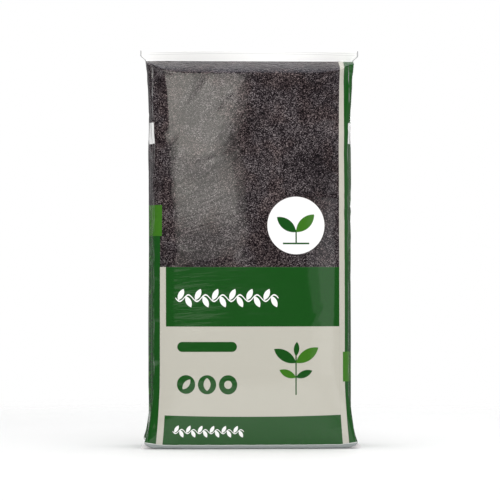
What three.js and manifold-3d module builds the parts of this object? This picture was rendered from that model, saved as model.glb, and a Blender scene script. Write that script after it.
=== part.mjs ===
// A sealed bag of garden compost that stands upright. It is one tube of film with folded side
// gussets, heat sealed flat at the top and at the bottom, and packed tight with its filling.
// Millimetres, +Z up, front towards -Y, origin on the floor under the middle of the bag.
import * as THREE from 'three';
import { mergeVertices } from 'three/addons/utils/BufferGeometryUtils.js';
import Module from 'manifold-3d';

// Driving dimensions of the bag
const SEAL_WIDTH = 400; // the film tube laid flat, which is the width of both heat seals
const BAG_HEIGHT = 725; // floor to the top edge of the fin
const WAIST_WIDTH = 371; // side to side at mid height, where the filling has drawn the sides in
const BELLY_DEPTH = 172; // front to back where the bag is thickest
const SHOULDER_DEPTH = 136; // front to back just under the roof
const FOOT_DEPTH = 160; // front to back at the floor

// Top fin: the film pinched together above the roof, then the heat seal
const FIN_HEIGHT = 19;
const SEAL_HEIGHT = 9;
const FIN_THICKNESS = 2.4;
const FIN_WAVE = 2.2; // how far the free edge of the fin bends to either side
const FIN_WAVE_LENGTH = 290;

// Roof between the shoulders and the fin
const CORNER_RISE = 9; // height of the roof at the bag's four corners
const MIDDLE_RISE = 26; // height of the roof over the middle of the front
const ROOF_SQUARENESS = 8; // how late the roof drops to its corner height on the way across
const ROOF_BEND = 0.22; // how softly the wall turns into the roof, 0 is a sharp edge
const ROOF_FLARE = 0.012; // share by which the roof widens towards the fin
const ROOF_TUCK = 52; // how deep the gusset is folded in under the fin
const ROOF_TUCK_REACH = 0.6; // share of the roof's height over which the fold deepens
const WALL_TUCK = 17; // how deep the gusset still is at the shoulders

// Upper corners, which the seal draws together
const CORNER_PULL = 13; // how far each corner is drawn back at the roof
const CORNER_PULL_SPAN = 0.88; // share of the face from which it is drawn back
const CORNER_PULL_FROM = 560; // height above which it is drawn back

// Walls
const FRONT_CROWN = 12; // how far the front and back swell past their edges
const CROWN_SQUARENESS = 4; // how late the swelling drops to the edge on the way across
const SIDE_SWELL = 5; // how far the filling pushes the gusset out at mid height
const CREASE_DEPTH = 1.6; // the gusset's middle crease, where the side is flat
const WAIST_CORNER = 17; // corner radius at mid height
const END_CORNER = 8; // corner radius at the two ends, where the film lies flat
const TOP_FLARE = 3.5; // how much wider each side is at the roof
const TOP_FLARE_REACH = 55;
const FOOT_FLARE = 12; // and at the floor
const FOOT_FLARE_REACH = 32;
const FOOT_TUCK = 14; // how deep the gusset is drawn in above the bottom seal

// Foot: the film turns under to a flat pad, and the corners stay clear of the floor
const FOOT_RADIUS = 9;
const CORNER_LIFT = 11;
const PAD_SETBACK = 22; // from the sides to the pad
const EAR_HEIGHT = 12; // end of the bottom seal that sticks out under a front corner
const EAR_INNER = 168;
const EAR_FORWARD = 62; // from the middle of the bag to the seal, which is folded forward under it
const EAR_THICKNESS = 2.4;

// Slow hollows in the packed film
const HOLLOW = 0.6;

// How finely the film is faceted
const FRONT_STEPS = 24;
const CORNER_STEPS = 4;
const SIDE_STEPS = 10;
const FOOT_ROWS = 4;
const WALL_ROWS = 27;
const ROOF_ROWS = 9;

const ROOF_TOP = BAG_HEIGHT - FIN_HEIGHT;
const { lerp, smoothstep } = THREE.MathUtils;

// Columns round the film: across the front, round a corner, across a gusset, and on to the back.
// A panel is +1 or -1 for the side that it is on, and share runs over it from -1 to 1, in finer steps
// towards the edges of a face.
function filmColumns() {
  const columns = [];
  const panel = (kind, side, steps, from, to) => {
    for (let i = from; i <= to; i++) {
      const even = (2 * i) / steps - 1;
      columns.push({ kind, side, share: kind === 'face' ? 1.5 * even - 0.5 * even ** 3 : even });
    }
  };
  for (const turn of [1, -1]) {
    panel('face', turn, FRONT_STEPS, 0, FRONT_STEPS);
    panel('before', turn, CORNER_STEPS, 1, CORNER_STEPS - 1);
    panel('gusset', turn, SIDE_STEPS, 0, SIDE_STEPS);
    panel('after', turn, CORNER_STEPS, 1, CORNER_STEPS - 1);
  }
  return columns;
}

// Height above the floor where a column's wall turns into the roof. The roof is deep over the
// middle of the front and shallow at the corners.
function shoulderHeight(column) {
  const across = column.kind === 'face' ? column.share : 1;
  return ROOF_TOP - lerp(MIDDLE_RISE, CORNER_RISE, Math.abs(across) ** ROOF_SQUARENESS);
}

// The measures of the bag's cross-section at a height.
function sectionAt(z) {
  const belly = BELLY_DEPTH / 2 - FRONT_CROWN;
  const shoulder = SHOULDER_DEPTH / 2 - FRONT_CROWN / 2;
  const foot = FOOT_DEPTH / 2 - FRONT_CROWN / 2;
  const upper = smoothstep(z, BAG_HEIGHT * 0.45, ROOF_TOP);
  const lower = 1 - smoothstep(z, 0, BAG_HEIGHT * 0.2);
  const nearRoof = smoothstep(z, BAG_HEIGHT * 0.74, ROOF_TOP);
  const nearFloor = 1 - smoothstep(z, 0, BAG_HEIGHT * 0.17);
  const flatEnd = Math.max(nearRoof, nearFloor);
  const topFlare = TOP_FLARE * Math.exp((z - ROOF_TOP) / TOP_FLARE_REACH);
  const footFlare = FOOT_FLARE * Math.exp(-z / FOOT_FLARE_REACH);
  return {
    halfWidth: WAIST_WIDTH / 2 - SIDE_SWELL * (1 - flatEnd) + topFlare + footFlare,
    halfDepth: lerp(lerp(belly, shoulder, upper), foot, lower),
    crown: FRONT_CROWN * (1 - 0.5 * Math.max(upper, lower)),
    corner: lerp(WAIST_CORNER, END_CORNER, flatEnd),
    swell: SIDE_SWELL * (1 - flatEnd),
    tuck: CREASE_DEPTH + WALL_TUCK * nearRoof + FOOT_TUCK * nearFloor,
  };
}

// Slow hollows and swellings of a panel, from its place across and up the bag.
function hollowAt(column, z) {
  const across = column.share * 2.3 + column.side;
  const wave = Math.sin(z / 61 + across) + 0.7 * Math.sin(z / 37 - 1.9 * across + 2 * column.side);
  const held = smoothstep(z, 0, 60) * (1 - smoothstep(z, ROOF_TOP - 60, ROOF_TOP));
  return (HOLLOW / 1.7) * wave * held;
}

// Where a column crosses a cross-section, as a point of the plan.
function planPoint(column, section, hollow) {
  const { halfWidth, halfDepth, crown, corner, swell, tuck } = section;
  const { kind, side, share } = column;
  const inner = new THREE.Vector2(halfWidth - corner, halfDepth - corner);
  const plan = new THREE.Vector2();
  if (kind === 'face') {
    plan.set(inner.x * share, -halfDepth - (crown + hollow) * (1 - share ** CROWN_SQUARENESS));
  } else if (kind === 'gusset') {
    const bulge = swell * (1 - share ** 2) - tuck * (1 - Math.abs(share)) ** 2;
    plan.set(halfWidth + bulge + hollow * (1 - share ** 2), inner.y * share);
  } else {
    const angle = ((share + 1) * Math.PI) / 4;
    const arc = new THREE.Vector2(Math.sin(angle), Math.cos(angle)).multiplyScalar(corner);
    if (kind === 'before') plan.set(inner.x + arc.x, -inner.y - arc.y);
    else plan.set(inner.x + arc.y, inner.y + arc.x);
  }
  return plan.multiplyScalar(side);
}

// Foot of the bag: a quarter turn from the flat pad on the floor up to the wall.
function footPoint(column, turn) {
  const nearCorner = column.kind === 'face' ? Math.abs(column.share) ** 6 : 1;
  const rise = lerp(FOOT_RADIUS, CORNER_LIFT, nearCorner);
  const section = sectionAt(rise);
  const wall = planPoint(column, section, 0);
  const pad = new THREE.Vector2(
    wall.x * (1 - PAD_SETBACK / section.halfWidth),
    wall.y * (1 - FOOT_RADIUS / section.halfDepth),
  );
  const plan = pad.lerp(wall, Math.sin(turn));
  return new THREE.Vector3(plan.x, plan.y, rise * (1 - Math.cos(turn)));
}

// Share of its depth that a column gives up near the roof, at and beside the corners.
function cornerPull(column, z) {
  const nearCorner = column.kind === 'face' ? smoothstep(Math.abs(column.share), CORNER_PULL_SPAN, 1) : 1;
  return (CORNER_PULL / (SHOULDER_DEPTH / 2)) * nearCorner * smoothstep(z, CORNER_PULL_FROM, ROOF_TOP);
}

// Wall of the bag, from the foot (climb 0) to the shoulder (climb 1).
function wallPoint(column, climb) {
  const z = lerp(footPoint(column, Math.PI / 2).z, shoulderHeight(column), climb);
  const plan = planPoint(column, sectionAt(z), hollowAt(column, z));
  return new THREE.Vector3(plan.x, plan.y * (1 - cornerPull(column, z)), z);
}

// Roof of the bag, from the shoulder (way 0) to just under the fin (way 1). The front and back bend
// over at the shoulder into a nearly straight slope, and the gusset is folded inwards between them.
function roofPoint(column, way) {
  const start = wallPoint(column, 1);
  const near = 1 - way ** 2;
  const climb = way ** 2 + 2 * ROOF_BEND * way * (1 - way);
  const lip = (FIN_THICKNESS / 2) * Math.sign(start.y);
  const folded = column.kind === 'gusset' ? 1 - Math.abs(column.share) : 0;
  const inward = (ROOF_TUCK - WALL_TUCK) * folded * smoothstep(climb, 0, ROOF_TUCK_REACH);
  return new THREE.Vector3(
    start.x * (1 + ROOF_FLARE * climb) - inward * column.side,
    lerp(lip, start.y, near),
    lerp(start.z, ROOF_TOP, climb),
  );
}

// Top fin: the film flares from the roof to the full width of the seal, and its edge waves a little.
function finPoint(column, climb) {
  const flared = smoothstep(climb, 0, 1 - SEAL_HEIGHT / FIN_HEIGHT);
  const section = {
    halfWidth: lerp((WAIST_WIDTH / 2 + TOP_FLARE) * (1 + ROOF_FLARE), SEAL_WIDTH / 2, flared),
    halfDepth: FIN_THICKNESS / 2,
    corner: FIN_THICKNESS / 3,
    crown: 0,
    swell: 0,
    tuck: 0,
  };
  const plan = planPoint(column, section, 0);
  const wave = FIN_WAVE * climb * Math.sin((2 * Math.PI * plan.x) / FIN_WAVE_LENGTH + 0.6);
  return new THREE.Vector3(plan.x, plan.y + wave, ROOF_TOP + FIN_HEIGHT * climb);
}

// All rows of the film from the pad on the floor to the top edge of the fin.
function filmRows(columns) {
  const quarter = Math.PI / 2;
  const row = (point, amount) => columns.map((column) => point(column, amount));
  const rows = [];
  for (let i = 0; i < FOOT_ROWS; i++) rows.push(row(footPoint, (quarter * i) / FOOT_ROWS));
  for (let i = 0; i < WALL_ROWS; i++) rows.push(row(wallPoint, i / WALL_ROWS));
  for (let i = 0; i < ROOF_ROWS; i++) rows.push(row(roofPoint, i / ROOF_ROWS));
  const finStops = [0, 0.5 * (1 - SEAL_HEIGHT / FIN_HEIGHT), 1 - SEAL_HEIGHT / FIN_HEIGHT, 1];
  for (const stop of finStops) rows.push(row(finPoint, stop));
  return rows;
}

// The rows skinned as one closed surface, with the pad and the top edge of the fin as caps.
function skinRows(rows) {
  const around = rows[0].length;
  const index = [];
  for (let j = 0; j + 1 < rows.length; j++) {
    for (let i = 0; i < around; i++) {
      const next = (i + 1) % around;
      const [a, b] = [j * around + i, j * around + next];
      index.push(a, b, b + around, a, b + around, a + around);
    }
  }
  const cap = (row, first, flip) => {
    const outline = row.map((point) => new THREE.Vector2(point.x, point.y));
    for (const [a, b, c] of THREE.ShapeUtils.triangulateShape(outline, [])) {
      index.push(first + a, first + (flip ? c : b), first + (flip ? b : c));
    }
  };
  cap(rows[0], 0, true);
  cap(rows[rows.length - 1], (rows.length - 1) * around, false);
  const geometry = new THREE.BufferGeometry().setFromPoints(rows.flat());
  geometry.setIndex(index);
  return geometry;
}

// One end of the bottom seal, an upright tab that looks out from under a front corner.
function earGeometry(side) {
  const [inner, outer] = [side * EAR_INNER, (side * SEAL_WIDTH) / 2];
  const outline = new THREE.Shape();
  outline.moveTo(inner, 0);
  outline.lineTo(outer, 0);
  outline.quadraticCurveTo(outer, EAR_HEIGHT, inner, EAR_HEIGHT);
  const geometry = new THREE.ExtrudeGeometry(outline, { depth: EAR_THICKNESS, bevelEnabled: false });
  return geometry.rotateX(Math.PI / 2).translate(0, EAR_THICKNESS / 2 - EAR_FORWARD, 0);
}

const wasm = await Module();
wasm.setup();

// A closed geometry as a solid that can be joined, and back again.
function toSolid(geometry) {
  const bare = new THREE.BufferGeometry().setAttribute('position', geometry.getAttribute('position'));
  bare.setIndex(geometry.getIndex());
  const merged = mergeVertices(bare, 1e-3);
  return new wasm.Manifold(
    new wasm.Mesh({
      numProp: 3,
      vertProperties: new Float32Array(merged.getAttribute('position').array),
      triVerts: new Uint32Array(merged.getIndex().array),
    }),
  );
}

function toGeometry(solid) {
  const mesh = solid.getMesh();
  const geometry = new THREE.BufferGeometry();
  geometry.setAttribute('position', new THREE.BufferAttribute(mesh.vertProperties, 3));
  geometry.setIndex(new THREE.BufferAttribute(mesh.triVerts, 1));
  geometry.computeVertexNormals();
  return geometry;
}

function bagGeometry() {
  const film = toSolid(skinRows(filmRows(filmColumns())));
  return toGeometry(film.add(toSolid(earGeometry(1))).add(toSolid(earGeometry(-1))));
}

const printedFilm = new THREE.MeshStandardMaterial({ color: 0x3a3432, roughness: 0.38, metalness: 0 });
const compostBag = new THREE.Mesh(bagGeometry(), printedFilm);
compostBag.name = 'compost_bag';

const bag = new THREE.Group();
bag.add(compostBag);

export default bag;
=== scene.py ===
"""Looks of an upright sealed bag of garden compost on a pale studio floor.

The bag is one tube of glossy printed film with folded side gussets, heat sealed flat at the top and at
the bottom and packed tight. Metres, +Z up, front towards -Y, origin on the floor under the bag.
"""
import math
from types import SimpleNamespace

import bmesh
import bpy
import numpy as np
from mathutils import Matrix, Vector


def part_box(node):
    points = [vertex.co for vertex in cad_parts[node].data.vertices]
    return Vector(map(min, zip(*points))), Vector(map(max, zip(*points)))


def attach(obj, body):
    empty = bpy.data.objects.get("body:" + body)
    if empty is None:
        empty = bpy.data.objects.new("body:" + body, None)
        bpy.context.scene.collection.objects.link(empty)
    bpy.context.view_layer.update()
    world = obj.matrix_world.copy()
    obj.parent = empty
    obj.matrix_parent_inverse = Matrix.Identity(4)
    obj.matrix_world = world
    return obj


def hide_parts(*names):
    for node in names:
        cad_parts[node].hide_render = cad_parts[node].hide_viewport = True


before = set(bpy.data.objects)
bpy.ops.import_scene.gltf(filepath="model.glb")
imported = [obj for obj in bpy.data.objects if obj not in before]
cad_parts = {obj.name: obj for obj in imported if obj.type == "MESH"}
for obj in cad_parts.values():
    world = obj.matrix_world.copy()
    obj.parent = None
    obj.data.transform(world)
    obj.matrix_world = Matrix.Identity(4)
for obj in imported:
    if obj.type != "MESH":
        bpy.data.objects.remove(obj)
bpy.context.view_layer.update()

# Driving sizes of the bag, as its solid has them
BAG_LOW, BAG_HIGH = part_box("compost_bag")
SEAL_WIDTH = BAG_HIGH.x - BAG_LOW.x
BAG_HEIGHT = BAG_HIGH.z
WAIST_WIDTH = 0.371
BELLY_DEPTH = 0.172
SHOULDER_DEPTH = 0.136
FOOT_DEPTH = 0.160

# Top fin
FIN_HEIGHT = 0.019
SEAL_HEIGHT = 0.009
FIN_THICKNESS = 0.0016
FIN_WAVE = 0.0022
FIN_WAVE_LENGTH = 0.290
FIN_WAVE_START = 0.6
ROOF_TOP = BAG_HEIGHT - FIN_HEIGHT

# Roof
CORNER_RISE = 0.009
MIDDLE_RISE = 0.026
ROOF_SQUARENESS = 8
ROOF_BEND = 0.22
ROOF_FLARE = 0.012
CORNER_PULL = 0.013
CORNER_PULL_SPAN = 0.88
CORNER_PULL_FROM = 0.56
ROOF_TUCK = 0.052
ROOF_TUCK_REACH = 0.6
WALL_TUCK = 0.017

# Walls
FRONT_CROWN = 0.012
CROWN_SQUARENESS = 4
SIDE_SWELL = 0.005
CREASE_DEPTH = 0.0016
WAIST_CORNER = 0.017
END_CORNER = 0.008
TOP_FLARE = 0.0035
TOP_FLARE_REACH = 0.055
FOOT_FLARE = 0.012
FOOT_FLARE_REACH = 0.032
FOOT_TUCK = 0.014
HOLLOW = 0.0006
HOLLOW_ENDS = 0.06

# Shares of the bag's height at which the wall starts to slim towards the roof, the foot's form ends, and the
# squarer forms under the roof and over the floor start and end
SLIM_FROM = 0.45
FOOT_FORM_TO = 0.20
SQUARE_TOP_FROM = 0.74
SQUARE_FOOT_TO = 0.17

# Foot and the ends of the bottom seal
FOOT_RADIUS = 0.009
CORNER_LIFT = 0.011
PAD_SETBACK = 0.022
EAR_HEIGHT = 0.012
EAR_INNER = 0.168
EAR_FORWARD = 0.062
EAR_THICKNESS = 0.0014

# How finely the film is gridded, in steps across its panels and rows up its height: the finished film, and
# the one that is simulated, with half as many
FINE = SimpleNamespace(face=120, corner=8, gusset=40, foot=8, wall=200, roof=24, fin=12)
COARSE = SimpleNamespace(face=60, corner=4, gusset=20, foot=4, wall=100, roof=12, fin=6)
PAD_ROWS = 5

# How the print lies on the film: how far it stretches where the bag flares (0 not at all, 1 with the film),
# and how far it sags in the middle of a face, at what height
FOOT_GIVE = 0.45
TOP_GIVE = 0.10
PRINT_SAG = 0.0034
PRINT_SAG_HALF = 0.165
PRINT_SAG_UP = 0.075
PRINT_SAG_SPREAD = 0.36

TAU = 2 * math.pi
FACE, BEFORE, GUSSET, AFTER = range(4)


def lerp(low, high, share):
    """The value a share of the way from low to high."""
    return low + (high - low) * share


def smoothstep(value, low, high):
    """0 below low, 1 above high, and a smooth S between them."""
    share = np.clip((value - low) / (high - low), 0, 1)
    return share * share * (3 - 2 * share)


def film_columns(grid):
    """Columns round the film, counter-clockwise from the middle of the back.

    Each half turn has a face, a corner, a gusset and a corner. Share runs over each of them from -1 to 1,
    the corners without their ends, which their neighbours have. Side is +1 for the front and right half and
    -1 for the back and left half.
    """
    panels = {FACE: grid.face, BEFORE: grid.corner, GUSSET: grid.gusset, AFTER: grid.corner}
    kinds, sides, shares = [], [], []
    for side in (1, -1):
        for kind, steps in panels.items():
            shared = int(kind in (BEFORE, AFTER))
            share = np.linspace(-1, 1, steps + 1)[shared:steps + 1 - shared]
            kinds.append(np.full(len(share), kind))
            sides.append(np.full(len(share), side))
            shares.append(share)
    kind, side, share = (np.concatenate(part) for part in (kinds, sides, shares))
    middle = np.abs(share) < 1e-9
    first = np.flatnonzero((kind == FACE) & (side < 0) & middle)[0]
    kind, side, share = (np.roll(part, -first) for part in (kind, side, share))
    front = np.flatnonzero((kind == FACE) & (side > 0) & (np.abs(share) < 1e-9))[0]
    edges = np.flatnonzero(((kind == BEFORE) | (kind == AFTER)) & (np.abs(share) < 1e-9))
    return SimpleNamespace(grid=grid, kind=kind, side=side, share=share, front=front, edges=edges)


def section_at(z):
    """Measures of the bag's cross-section at a height: slim at the roof, fullest at the belly, flared and
    square at the floor, each blended by a smooth step of the height."""
    belly = BELLY_DEPTH / 2 - FRONT_CROWN
    shoulder = SHOULDER_DEPTH / 2 - FRONT_CROWN / 2
    foot = FOOT_DEPTH / 2 - FRONT_CROWN / 2
    upper = smoothstep(z, BAG_HEIGHT * SLIM_FROM, ROOF_TOP)
    lower = 1 - smoothstep(z, 0, BAG_HEIGHT * FOOT_FORM_TO)
    near_roof = smoothstep(z, BAG_HEIGHT * SQUARE_TOP_FROM, ROOF_TOP)
    near_floor = 1 - smoothstep(z, 0, BAG_HEIGHT * SQUARE_FOOT_TO)
    flat_end = np.maximum(near_roof, near_floor)
    flare = TOP_FLARE * np.exp((z - ROOF_TOP) / TOP_FLARE_REACH) + FOOT_FLARE * np.exp(-z / FOOT_FLARE_REACH)
    return SimpleNamespace(
        half_width=WAIST_WIDTH / 2 - SIDE_SWELL * (1 - flat_end) + flare,
        half_depth=lerp(lerp(belly, shoulder, upper), foot, lower),
        crown=FRONT_CROWN * (1 - 0.5 * np.maximum(upper, lower)),
        corner=lerp(WAIST_CORNER, END_CORNER, flat_end),
        swell=SIDE_SWELL * (1 - flat_end),
        tuck=CREASE_DEPTH + WALL_TUCK * near_roof + FOOT_TUCK * near_floor,
    )


def hollow_at(columns, z):
    """Slow hollows of a panel: two sine waves of the height, shifted across the panel, fading at the ends."""
    across = columns.share * 2.3 + columns.side
    wave = np.sin(z / 0.061 + across) + 0.7 * np.sin(z / 0.037 - 1.9 * across + 2 * columns.side)
    held = smoothstep(z, 0, HOLLOW_ENDS) * (1 - smoothstep(z, ROOF_TOP - HOLLOW_ENDS, ROOF_TOP))
    return HOLLOW / 1.7 * wave * held


def plan_point(columns, section, hollow=0.0):
    """Plan of each column in a cross-section: a crowned line across a face, a swollen line with a middle
    crease across a gusset and a quarter circle round a corner. Side -1 is the half turned by 180 degrees."""
    share = columns.share
    inner_x = section.half_width - section.corner
    inner_y = section.half_depth - section.corner
    crown = (section.crown + hollow) * (1 - share**CROWN_SQUARENESS)
    fold = section.tuck * (1 - np.abs(share)) ** 2
    bulge = (section.swell + hollow) * (1 - share**2) - fold
    angle = (share + 1) * math.pi / 4
    rising = section.corner * np.sin(angle)
    falling = section.corner * np.cos(angle)
    panel = [columns.kind == kind for kind in (FACE, BEFORE, GUSSET, AFTER)]
    x = np.select(panel, [inner_x * share, inner_x + rising, section.half_width + bulge, inner_x + falling])
    y = np.select(panel, [-section.half_depth - crown, -inner_y - falling, inner_y * share, inner_y + rising])
    return x * columns.side, y * columns.side


def stack(x, y, z):
    """Three arrays of one shape, or shapes that spread to one, as an array of points."""
    return np.stack(np.broadcast_arrays(x, y, z), axis=-1)


def foot_rise(columns):
    """Height at which the foot's quarter turn ends in the wall, higher at the corners."""
    near_corner = np.where(columns.kind == FACE, np.abs(columns.share) ** 6, 1.0)
    return lerp(FOOT_RADIUS, CORNER_LIFT, near_corner)


def shoulder_height(columns):
    """Height at which the wall turns into the roof: lowest mid-face, highest at the corners."""
    across = np.where(columns.kind == FACE, np.abs(columns.share), 1.0)
    return ROOF_TOP - lerp(MIDDLE_RISE, CORNER_RISE, across**ROOF_SQUARENESS)


def foot_rows(columns):
    """The film's quarter turn from the flat pad on the floor (turn 0) up to the wall."""
    turn = np.linspace(0, math.pi / 2, columns.grid.foot, endpoint=False)[:, None]
    rise = foot_rise(columns)
    section = section_at(rise)
    wall_x, wall_y = plan_point(columns, section)
    pad_x = wall_x * (1 - PAD_SETBACK / section.half_width)
    pad_y = wall_y * (1 - FOOT_RADIUS / section.half_depth)
    out = np.sin(turn)
    points = stack(lerp(pad_x, wall_x, out), lerp(pad_y, wall_y, out), rise * (1 - np.cos(turn)))
    return points, rise * turn / (math.pi / 2)


def corner_pull(columns, z):
    """How much of its depth a column gives up near the roof, where the seal draws the corners together."""
    near_corner = np.where(columns.kind == FACE, smoothstep(np.abs(columns.share), CORNER_PULL_SPAN, 1), 1.0)
    return CORNER_PULL / (SHOULDER_DEPTH / 2) * near_corner * smoothstep(z, CORNER_PULL_FROM, ROOF_TOP)


def wall_point(columns, climb):
    """The wall from the foot (climb 0) to the shoulder (climb 1)."""
    z = lerp(foot_rise(columns), shoulder_height(columns), climb)
    x, y = plan_point(columns, section_at(z), hollow_at(columns, z))
    return stack(x, y * (1 - corner_pull(columns, z)), z)


def roof_rows(columns):
    """The roof from the shoulder to just under the fin: the faces leave the wall upright and bend at once
    into a nearly straight slope, a parabola. The gussets fold inwards between them, most at their middle."""
    way = np.linspace(0, 1, columns.grid.roof, endpoint=False)[:, None]
    start = wall_point(columns, 1.0)
    near = 1 - way**2
    climb = way**2 + 2 * ROOF_BEND * way * (1 - way)
    lip = FIN_THICKNESS / 2 * np.sign(start[:, 1])
    folded = np.where(columns.kind == GUSSET, 1 - np.abs(columns.share), 0.0)
    inward = (ROOF_TUCK - WALL_TUCK) * folded * smoothstep(climb, 0, ROOF_TUCK_REACH)
    x = start[:, 0] * (1 + ROOF_FLARE * climb) - inward * columns.side
    return stack(x, lerp(lip, start[:, 1], near), lerp(start[:, 2], ROOF_TOP, climb))


def fin_rows(columns):
    """The fin: the film flares to the full width of the seal, and its free edge waves to and fro."""
    climb = np.linspace(0, 1, columns.grid.fin)[:, None]
    flared = smoothstep(climb, 0, 1 - SEAL_HEIGHT / FIN_HEIGHT)
    section = SimpleNamespace(
        half_width=lerp((WAIST_WIDTH / 2 + TOP_FLARE) * (1 + ROOF_FLARE), SEAL_WIDTH / 2, flared),
        half_depth=FIN_THICKNESS / 2,
        corner=FIN_THICKNESS / 3,
        crown=0.0,
        swell=0.0,
        tuck=0.0,
    )
    x, y = plan_point(columns, section)
    wave = FIN_WAVE * climb * np.sin(TAU * x / FIN_WAVE_LENGTH + FIN_WAVE_START)
    return stack(x, y + wave, ROOF_TOP + FIN_HEIGHT * climb), wave


def film_surface(columns):
    """The film as rows of points from the pad's edge to the top of the fin, with its print coordinates.

    across is the length of film from the middle of the nearer face, along the row, positive towards +X.
    around is the length from the middle of the front, all the way round. up is the height on the walls and
    then the length of film, evened out on the roof so that every column meets the fin at the same fin_up.
    """
    grid = columns.grid
    foot, foot_up = foot_rows(columns)
    wall = wall_point(columns, np.linspace(0, 1, grid.wall, endpoint=False)[:, None])
    fin, wave = fin_rows(columns)
    points = np.concatenate([foot, wall, roof_rows(columns), fin])
    around = np.cumsum(np.linalg.norm(np.diff(points, axis=1, prepend=points[:, -1:]), axis=2), axis=1)
    around = around - around[:, columns.front:columns.front + 1]
    length = np.linalg.norm(points - np.roll(points, 1, axis=1), axis=2).sum(axis=1, keepdims=True)
    left_edge, right_edge = columns.edges[1:3]
    face = around[:, right_edge:right_edge + 1] - around[:, left_edge:left_edge + 1]
    middle = grid.foot + grid.wall // 2
    give = np.where(np.arange(len(points))[:, None] < middle, FOOT_GIVE, TOP_GIVE)
    stretch = lerp(1.0, face / face[middle], give)
    shoulder = grid.foot + grid.wall
    around, length = around / stretch, length / stretch
    around[shoulder:] = around[shoulder - 1]
    length[shoulder:] = length[shoulder - 1]
    across = np.sign(around) * np.minimum(np.abs(around), length / 2 - np.abs(around))
    climbed = np.cumsum(np.linalg.norm(np.diff(points[shoulder - 1:], axis=0), axis=2), axis=0)
    roof_length = climbed[grid.roof]
    fin_up = wall[-1, columns.front, 2] + roof_length[columns.front]
    roof_up = lerp(wall[-1, :, 2], fin_up, climbed[:grid.roof] / roof_length)
    up = np.concatenate([foot_up, wall[..., 2], roof_up, fin_up + climbed[grid.roof:] - roof_length])
    near_height = np.exp(-((up / PRINT_SAG_UP - 1) ** 2) / PRINT_SAG_SPREAD)
    up += PRINT_SAG * np.clip(1 - (across / PRINT_SAG_HALF) ** 2, 0, None) * near_height
    fin_end = np.abs(across[-1, (columns.kind == FACE) & (np.abs(columns.share) == 1)]).min()
    return SimpleNamespace(points=points, across=across, around=around, up=up, perimeter=length,
                           wave=wave[-1], fin_up=fin_up, fin_end=fin_end)


def drift(places, shortest, longest, seed, waves=32):
    """A smooth random swell of about unit size: a sum of plane waves over the places, with seeded headings,
    phases and wavelengths between shortest and longest."""
    draw = np.random.default_rng(seed)
    heading = draw.normal(size=(waves, places.shape[-1]))
    heading /= np.linalg.norm(heading, axis=1, keepdims=True)
    length = draw.uniform(shortest, longest, waves)
    phase = draw.uniform(0, TAU, waves)
    total = np.zeros(places.shape[:-1])
    for k in range(waves):
        total += np.cos(places @ (heading[k] * TAU / length[k]) + phase[k])
    return total * math.sqrt(2 / waves)


# Creases and puckers of the film: heights are metres along the film's normal
SLOW_SWELL = 0.00012
FINE_SWELL = 0.00001
EDGE_PINCH = 0.0006
EDGE_REACH = 0.013
EDGE_RIDGE = 0.0007
EDGE_RIDGE_WIDTH = 0.0022
SEAL_PUCKER = 0.0010
SEAL_PUCKER_REACH = 0.016
FOOT_PUCKER = 0.0004
FOOT_PUCKER_REACH = 0.022
SOFT_FOLDS = 16
SOFT_FOLD_EDGES = (-0.325, -0.180, 0.180, 0.325)
BACK_SHIFT = 10.0  # takes the back's gathers from elsewhere in the waves than the front's

# Soft folds of the front: around, up, heading in degrees, length, width and height
FRONT_FOLDS = (
    (-0.110, 0.618, 58, 0.150, 0.009, -0.0005),  # steep crease at the upper left
    (-0.035, 0.635, 55, 0.100, 0.020, 0.0006),  # short ridge beside it
    (-0.040, 0.585, 45, 0.200, 0.050, 0.0035),  # broad swell across the upper front
    (-0.059, 0.528, 17, 0.090, 0.004, -0.0002),  # fine level crease
    (-0.015, 0.450, 82, 0.320, 0.070, 0.0030),  # tall swell up the middle
    (-0.080, 0.345, 8, 0.180, 0.030, 0.0005),  # level swell low on the soil, with two short ridges
    (-0.120, 0.354, -17, 0.050, 0.009, 0.0003),
    (-0.068, 0.348, 14, 0.100, 0.009, 0.0003),
    (-0.045, 0.276, 24, 0.050, 0.003, 0.00024),  # fine creases on the upper green band
    (0.120, 0.240, 50, 0.060, 0.006, 0.00022),
)


def fold_lines():
    """Every soft fold: the front's own, and seeded ones near the bag's edges, all round."""
    draw = np.random.default_rng(41)
    folds = list(FRONT_FOLDS)
    for _ in range(SOFT_FOLDS):
        edge = draw.choice(SOFT_FOLD_EDGES)
        folds.append((
            edge + draw.normal(0, 0.020),
            draw.uniform(0.05, 0.68),
            draw.uniform(-70, 70),
            draw.uniform(0.04, 0.11),
            draw.uniform(0.003, 0.008),
            draw.uniform(-0.0006, 0.0006),
        ))
    return folds


def soft_folds(film):
    """Soft folds: each is a bell across its line, fading towards both ends."""
    total = np.zeros_like(film.up)
    for around, up, heading, length, width, height in fold_lines():
        beside = (film.around - around + film.perimeter / 2) % film.perimeter - film.perimeter / 2
        above = film.up - up
        turn = math.radians(heading)
        along = beside * math.cos(turn) + above * math.sin(turn)
        aside = above * math.cos(turn) - beside * math.sin(turn)
        total += height * np.exp(-((aside / width) ** 2) - (2 * along / length) ** 4)
    return total


def from_edge(film, edge):
    """Length of film from an upright edge, along the row, the shorter way round."""
    gap = np.abs(film.around - film.around[:, edge:edge + 1])
    return np.minimum(gap, film.perimeter - gap)


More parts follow.
